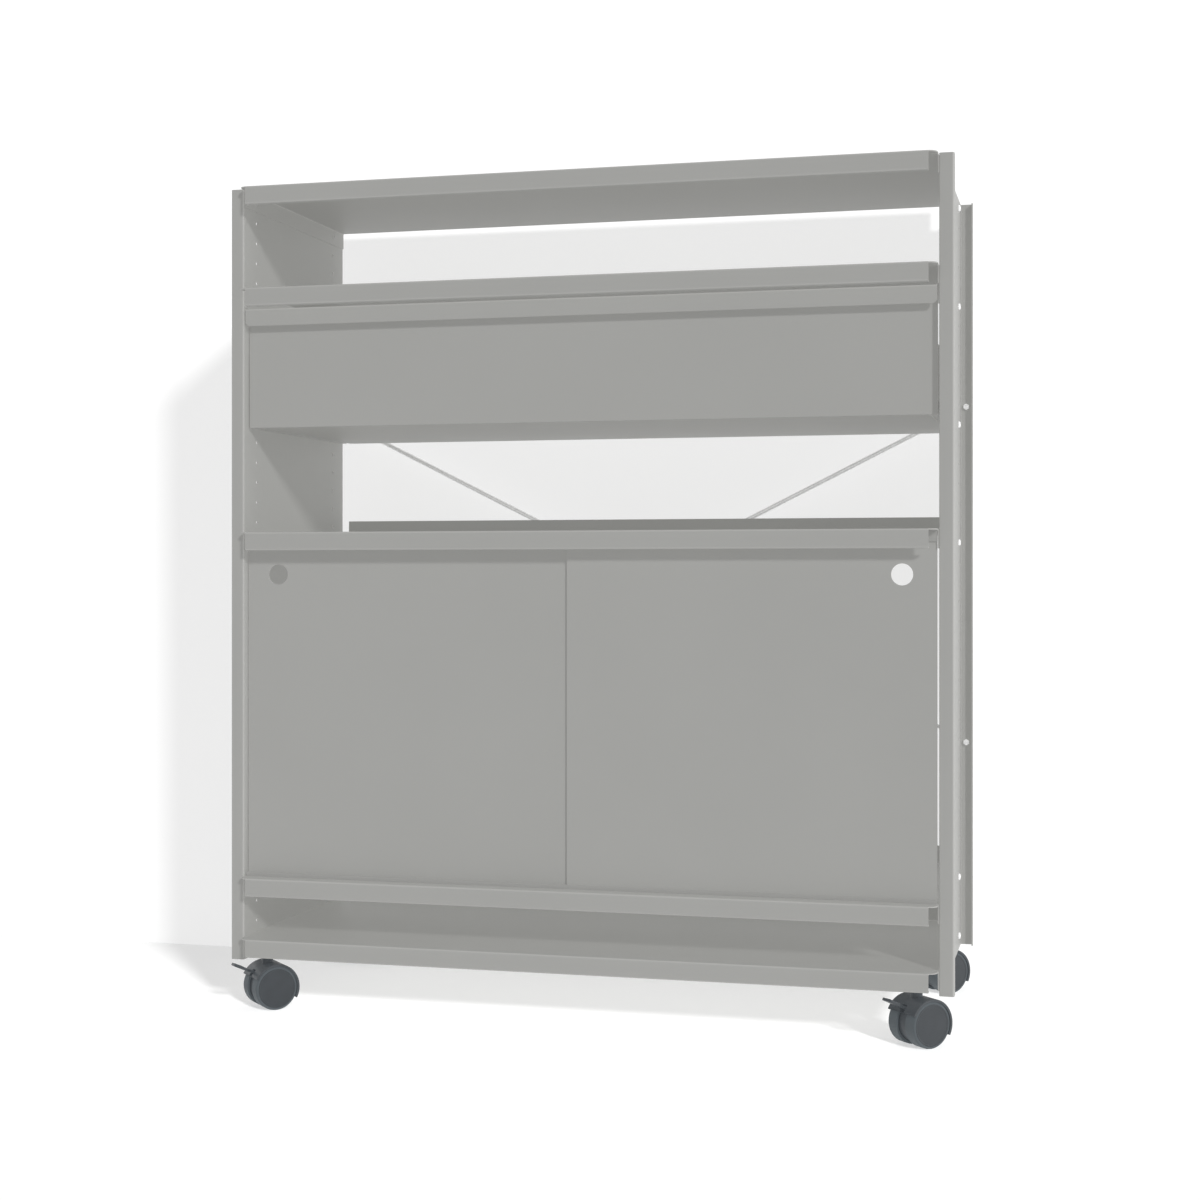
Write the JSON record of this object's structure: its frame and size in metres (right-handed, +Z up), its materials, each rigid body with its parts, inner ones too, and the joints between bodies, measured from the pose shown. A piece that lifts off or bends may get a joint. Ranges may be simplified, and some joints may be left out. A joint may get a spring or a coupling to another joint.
{
  "type": "mobile shelving unit",
  "caption": "Mobile folded-sheet aluminium shelving unit: open shelves between perforated sides, a drawer with grip lip, sliding doors, a rear rod brace and hooded twin-wheel castors.",
  "frame": {"origin": "on the floor under the middle of the unit's overall box", "axes": "+Z up, +Y from the front to the back, +X to the right seen from the front"},
  "size_m": [0.991, 0.4255, 1.16],
  "materials": {
    "coated_aluminium": "fine matt powder coat, warm mid grey",
    "zinc_steel": "zinc plated",
    "track_plastic": "matt extrusion",
    "castor_plastic": "satin moulded, dark blue grey",
    "castor_tread": "matt hard tread, dark blue grey"
  },
  "bodies": {
    "frame": {"bottom_shelf": "coated_aluminium", "brace_nut_lower_left": "zinc_steel", "brace_nut_lower_right": "zinc_steel", "brace_nut_upper_left": "zinc_steel", "brace_nut_upper_right": "zinc_steel", "brace_rod_rising_left": "zinc_steel", "brace_rod_rising_right": "zinc_steel", "door_lower_track": "track_plastic", "door_upper_track": "track_plastic", "drawer_fixed_rail_left": "zinc_steel", "drawer_fixed_rail_right": "zinc_steel", "front_left_castor_socket": "zinc_steel", "front_left_castor_stem": "zinc_steel", "front_right_castor_socket": "zinc_steel", "front_right_castor_stem": "zinc_steel", "lower_shelf": "coated_aluminium", "middle_shelf": "coated_aluminium", "rear_left_castor_socket": "zinc_steel", "rear_left_castor_stem": "zinc_steel", "rear_right_castor_socket": "zinc_steel", "rear_right_castor_stem": "zinc_steel", "second_shelf": "coated_aluminium", "side_panel_left": "coated_aluminium", "side_panel_right": "coated_aluminium", "top_shelf": "coated_aluminium"},
    "drawer": {"drawer_front": "coated_aluminium", "drawer_tray": "coated_aluminium", "drawer_moving_rail_left": "zinc_steel", "drawer_moving_rail_right": "zinc_steel"},
    "left_door": {"door_left": "coated_aluminium"},
    "right_door": {"door_right": "coated_aluminium"},
    "front_left_castor": {"front_left_castor_housing": "castor_plastic", "front_left_castor_axle": "zinc_steel", "front_left_castor_lever_pin": "zinc_steel"},
    "front_left_wheel_a": {"front_left_castor_wheel_a": "castor_tread"},
    "front_left_wheel_b": {"front_left_castor_wheel_b": "castor_tread"},
    "front_left_brake": {"front_left_castor_brake_lever": "castor_plastic"},
    "front_right_castor": {"front_right_castor_housing": "castor_plastic", "front_right_castor_axle": "zinc_steel", "front_right_castor_lever_pin": "zinc_steel"},
    "front_right_wheel_a": {"front_right_castor_wheel_a": "castor_tread"},
    "front_right_wheel_b": {"front_right_castor_wheel_b": "castor_tread"},
    "front_right_brake": {"front_right_castor_brake_lever": "castor_plastic"},
    "rear_left_castor": {"rear_left_castor_housing": "castor_plastic", "rear_left_castor_axle": "zinc_steel"},
    "rear_left_wheel_a": {"rear_left_castor_wheel_a": "castor_tread"},
    "rear_left_wheel_b": {"rear_left_castor_wheel_b": "castor_tread"},
    "rear_right_castor": {"rear_right_castor_housing": "castor_plastic", "rear_right_castor_axle": "zinc_steel"},
    "rear_right_wheel_a": {"rear_right_castor_wheel_a": "castor_tread"},
    "rear_right_wheel_b": {"rear_right_castor_wheel_b": "castor_tread"}
  },
  "joints": [
    {"name": "drawer_slide", "type": "slide", "parent": "frame", "child": "drawer", "axis": [0, -1, 0], "range_m": [0, 0.26]},
    {"name": "left_door_slide", "type": "slide", "parent": "frame", "child": "left_door", "axis": [1, 0, 0], "range_m": [0, 0.455]},
    {"name": "right_door_slide", "type": "slide", "parent": "frame", "child": "right_door", "axis": [-1, 0, 0], "range_m": [0, 0.455]},
    {"name": "front_left_swivel", "type": "hinge", "parent": "frame", "child": "front_left_castor", "pos_m": [-0.447, -0.1725, 0.0632], "axis": [0, 0, 1], "continuous": true},
    {"name": "front_left_wheel_a_spin", "type": "hinge", "parent": "front_left_castor", "child": "front_left_wheel_a", "pos_m": [-0.44417, -0.16967, 0.03], "axis": [0.7071, -0.7071, 0], "continuous": true},
    {"name": "front_left_wheel_b_spin", "type": "hinge", "parent": "front_left_castor", "child": "front_left_wheel_b", "pos_m": [-0.44417, -0.16967, 0.03], "axis": [0.7071, -0.7071, 0], "continuous": true},
    {"name": "front_left_brake_press", "type": "hinge", "parent": "front_left_castor", "child": "front_left_brake", "pos_m": [-0.45478, -0.18028, 0.0465], "axis": [0.7071, -0.7071, 0], "range_deg": [0, 15]},
    {"name": "front_right_swivel", "type": "hinge", "parent": "frame", "child": "front_right_castor", "pos_m": [0.447, -0.1725, 0.0632], "axis": [0, 0, 1], "continuous": true},
    {"name": "front_right_wheel_a_spin", "type": "hinge", "parent": "front_right_castor", "child": "front_right_wheel_a", "pos_m": [0.44983, -0.16967, 0.03], "axis": [0.7071, -0.7071, 0], "continuous": true},
    {"name": "front_right_wheel_b_spin", "type": "hinge", "parent": "front_right_castor", "child": "front_right_wheel_b", "pos_m": [0.44983, -0.16967, 0.03], "axis": [0.7071, -0.7071, 0], "continuous": true},
    {"name": "front_right_brake_press", "type": "hinge", "parent": "front_right_castor", "child": "front_right_brake", "pos_m": [0.43922, -0.18028, 0.0465], "axis": [0.7071, -0.7071, 0], "range_deg": [0, 15]},
    {"name": "rear_left_swivel", "type": "hinge", "parent": "frame", "child": "rear_left_castor", "pos_m": [-0.447, 0.1675, 0.0632], "axis": [0, 0, 1], "continuous": true},
    {"name": "rear_left_wheel_a_spin", "type": "hinge", "parent": "rear_left_castor", "child": "rear_left_wheel_a", "pos_m": [-0.44417, 0.17033, 0.03], "axis": [0.7071, -0.7071, 0], "continuous": true},
    {"name": "rear_left_wheel_b_spin", "type": "hinge", "parent": "rear_left_castor", "child": "rear_left_wheel_b", "pos_m": [-0.44417, 0.17033, 0.03], "axis": [0.7071, -0.7071, 0], "continuous": true},
    {"name": "rear_right_swivel", "type": "hinge", "parent": "frame", "child": "rear_right_castor", "pos_m": [0.447, 0.1675, 0.0632], "axis": [0, 0, 1], "continuous": true},
    {"name": "rear_right_wheel_a_spin", "type": "hinge", "parent": "rear_right_castor", "child": "rear_right_wheel_a", "pos_m": [0.44983, 0.17033, 0.03], "axis": [0.7071, -0.7071, 0], "continuous": true},
    {"name": "rear_right_wheel_b_spin", "type": "hinge", "parent": "rear_right_castor", "child": "rear_right_wheel_b", "pos_m": [0.44983, 0.17033, 0.03], "axis": [0.7071, -0.7071, 0], "continuous": true}
  ]
}
